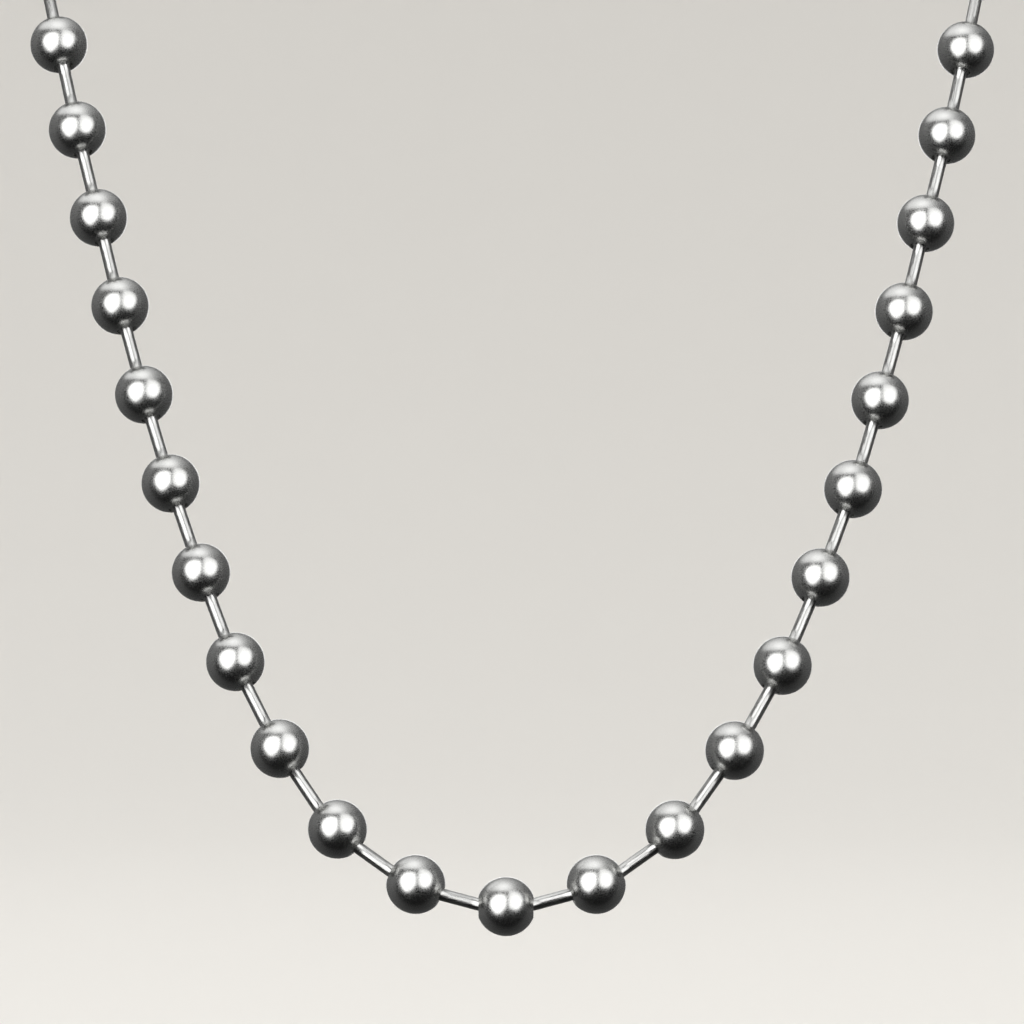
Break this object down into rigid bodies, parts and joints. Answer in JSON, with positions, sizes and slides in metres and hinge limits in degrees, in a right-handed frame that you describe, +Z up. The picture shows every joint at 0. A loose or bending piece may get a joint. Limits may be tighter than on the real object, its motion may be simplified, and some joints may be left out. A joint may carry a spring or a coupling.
{
  "type": "ball chain necklace",
  "caption": "Loop of hollow steel balls joined by straight pins with captive heads, closed at the nape by a slotted sleeve clasp, in the shape it takes when worn.",
  "frame": {"origin": "middle of the neck that the necklace hangs round, level with the clasp at the nape", "axes": "+Z up, -Y to the wearer's front where the chain hangs lowest, +X to the right as seen from the front"},
  "size_m": [0.1423, 0.1243, 0.1777],
  "materials": {
    "ball_steel": "polished stainless steel",
    "link_steel": "drawn and polished stainless steel wire",
    "clasp_steel": "pressed and polished stainless steel sheet"
  },
  "bodies": {
    "root": {"balls": "ball_steel", "links": "link_steel", "clasp": "clasp_steel"}
  },
  "joints": []
}
